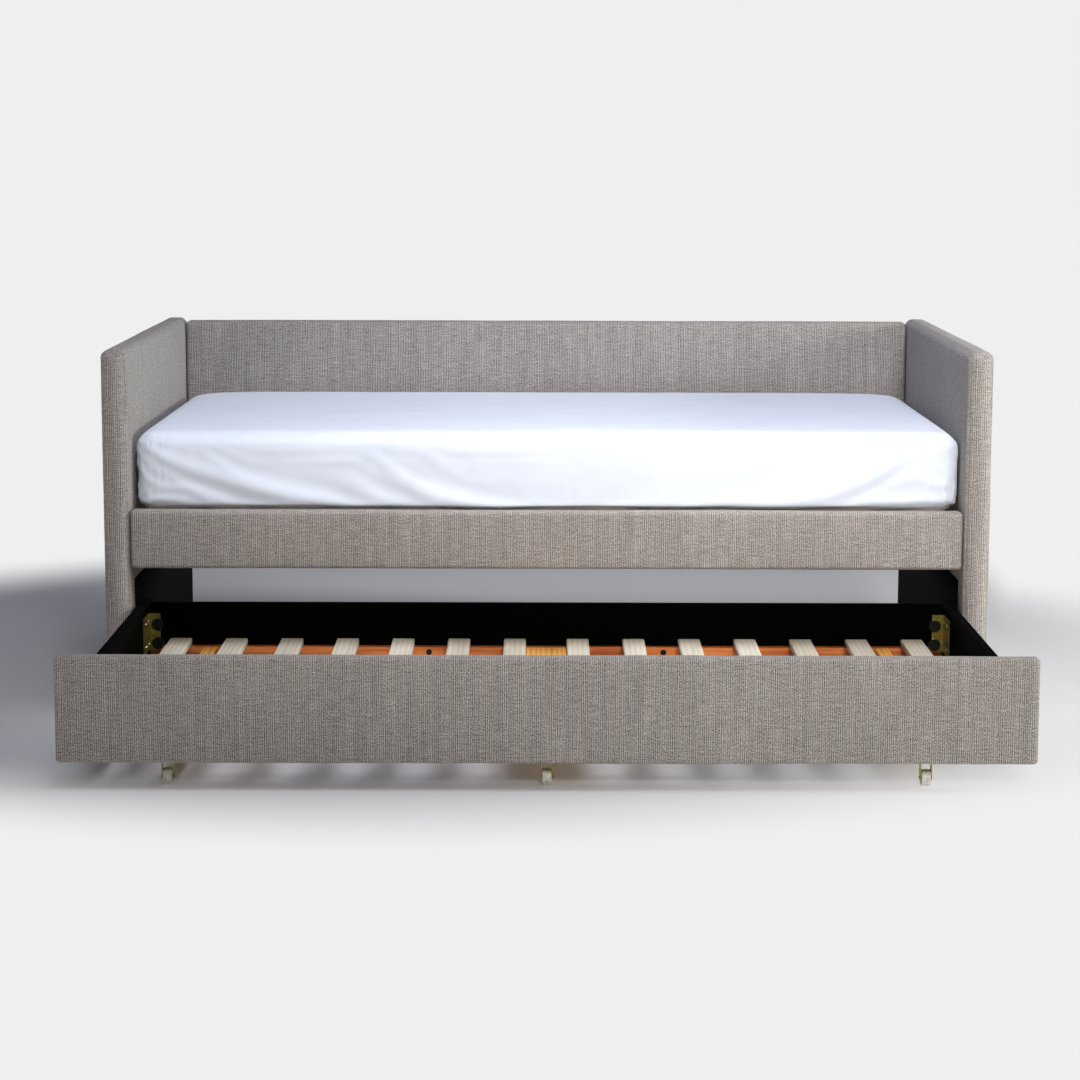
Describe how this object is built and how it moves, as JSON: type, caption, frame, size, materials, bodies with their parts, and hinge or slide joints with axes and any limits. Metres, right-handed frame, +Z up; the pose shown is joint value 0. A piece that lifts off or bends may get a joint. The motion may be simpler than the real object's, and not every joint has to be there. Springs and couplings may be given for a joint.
{
  "type": "trundle bed",
  "caption": "Upholstered daybed with padded arms and back, fitted mattress, and a slatted trundle drawer that rolls out on casters.",
  "frame": {"origin": "on the floor, under the middle of the whole object as drawn, with the trundle pulled out 675 mm", "axes": "+X along the bed's length to the right, +Y to the back of the daybed, +Z up; the trundle rolls out along -Y"},
  "size_m": [2.04, 1.805, 0.863],
  "materials": {
    "taupe_fabric": "taupe-grey woven upholstery with a fine vertical rib",
    "black_fabric": "matt black non-woven lining",
    "white_cotton": "white cotton sheet",
    "mattress_ticking": "off-white knitted ticking",
    "pale_slat_wood": "pale planed slats",
    "brown_ledger_wood": "orange-brown batten, unvarnished",
    "golden_pine": "golden planed pine",
    "core_board": "raw board core, hidden",
    "yellow_zinc": "yellow zinc plated steel",
    "nylon": "off-white moulded nylon",
    "black_steel": "blackened bolt heads",
    "black_plastic": "black moulded plastic"
  },
  "bodies": {
    "daybed": {"left_arm_frame": "core_board", "right_arm_frame": "core_board", "left_arm_cover": "taupe_fabric", "right_arm_cover": "taupe_fabric", "left_arm_lining": "black_fabric", "right_arm_lining": "black_fabric", "left_front_glide": "black_plastic", "left_back_glide": "black_plastic", "right_front_glide": "black_plastic", "right_back_glide": "black_plastic", "back_frame": "core_board", "back_cover": "taupe_fabric", "front_rail_frame": "core_board", "front_rail_cover": "taupe_fabric", "front_ledger": "golden_pine", "back_ledger": "golden_pine", "daybed_slat_roll": "pale_slat_wood", "mattress": "mattress_ticking", "fitted_sheet": "white_cotton"},
    "trundle": {"trundle_front_frame": "core_board", "trundle_front_cover": "taupe_fabric", "trundle_left_side": "black_fabric", "trundle_right_side": "black_fabric", "trundle_back": "black_fabric", "trundle_front_ledger": "brown_ledger_wood", "trundle_back_ledger": "brown_ledger_wood", "ledger_bolt_left": "black_steel", "ledger_bolt_right": "black_steel", "left_caster_beam": "golden_pine", "centre_caster_beam": "golden_pine", "right_caster_beam": "golden_pine", "left_bed_bracket": "yellow_zinc", "right_bed_bracket": "yellow_zinc", "trundle_slat_01": "pale_slat_wood", "trundle_slat_02": "pale_slat_wood", "trundle_slat_03": "pale_slat_wood", "trundle_slat_04": "pale_slat_wood", "trundle_slat_05": "pale_slat_wood", "trundle_slat_06": "pale_slat_wood", "trundle_slat_07": "pale_slat_wood", "trundle_slat_08": "pale_slat_wood", "trundle_slat_09": "pale_slat_wood", "trundle_slat_10": "pale_slat_wood", "trundle_slat_11": "pale_slat_wood", "trundle_slat_12": "pale_slat_wood", "trundle_slat_13": "pale_slat_wood", "trundle_slat_14": "pale_slat_wood", "front_left_caster_fork": "yellow_zinc", "front_centre_caster_fork": "yellow_zinc", "front_right_caster_fork": "yellow_zinc", "back_left_caster_fork": "yellow_zinc", "back_centre_caster_fork": "yellow_zinc", "back_right_caster_fork": "yellow_zinc"},
    "front_left_wheel": {"front_left_wheel": "nylon"},
    "front_centre_wheel": {"front_centre_wheel": "nylon"},
    "front_right_wheel": {"front_right_wheel": "nylon"},
    "back_left_wheel": {"back_left_wheel": "nylon"},
    "back_centre_wheel": {"back_centre_wheel": "nylon"},
    "back_right_wheel": {"back_right_wheel": "nylon"}
  },
  "joints": [
    {"name": "trundle_slide", "type": "slide", "parent": "daybed", "child": "trundle", "axis": [0, -1, 0], "range_m": [-0.632, 0.4]},
    {"name": "front_left_wheel_spin", "type": "hinge", "parent": "trundle", "child": "front_left_wheel", "pos_m": [-0.794, -0.8375, 0.0175], "axis": [1, 0, 0], "continuous": true},
    {"name": "front_centre_wheel_spin", "type": "hinge", "parent": "trundle", "child": "front_centre_wheel", "pos_m": [0, -0.8375, 0.0175], "axis": [1, 0, 0], "continuous": true},
    {"name": "front_right_wheel_spin", "type": "hinge", "parent": "trundle", "child": "front_right_wheel", "pos_m": [0.794, -0.8375, 0.0175], "axis": [1, 0, 0], "continuous": true},
    {"name": "back_left_wheel_spin", "type": "hinge", "parent": "trundle", "child": "back_left_wheel", "pos_m": [-0.794, -0.1225, 0.0175], "axis": [1, 0, 0], "continuous": true},
    {"name": "back_centre_wheel_spin", "type": "hinge", "parent": "trundle", "child": "back_centre_wheel", "pos_m": [0, -0.1225, 0.0175], "axis": [1, 0, 0], "continuous": true},
    {"name": "back_right_wheel_spin", "type": "hinge", "parent": "trundle", "child": "back_right_wheel", "pos_m": [0.794, -0.1225, 0.0175], "axis": [1, 0, 0], "continuous": true}
  ],
  "couplings": [
    {"joint": "front_left_wheel_spin", "follows": "trundle_slide", "rad_per_m": 57.143},
    {"joint": "front_centre_wheel_spin", "follows": "trundle_slide", "rad_per_m": 57.143},
    {"joint": "front_right_wheel_spin", "follows": "trundle_slide", "rad_per_m": 57.143},
    {"joint": "back_left_wheel_spin", "follows": "trundle_slide", "rad_per_m": 57.143},
    {"joint": "back_centre_wheel_spin", "follows": "trundle_slide", "rad_per_m": 57.143},
    {"joint": "back_right_wheel_spin", "follows": "trundle_slide", "rad_per_m": 57.143}
  ]
}
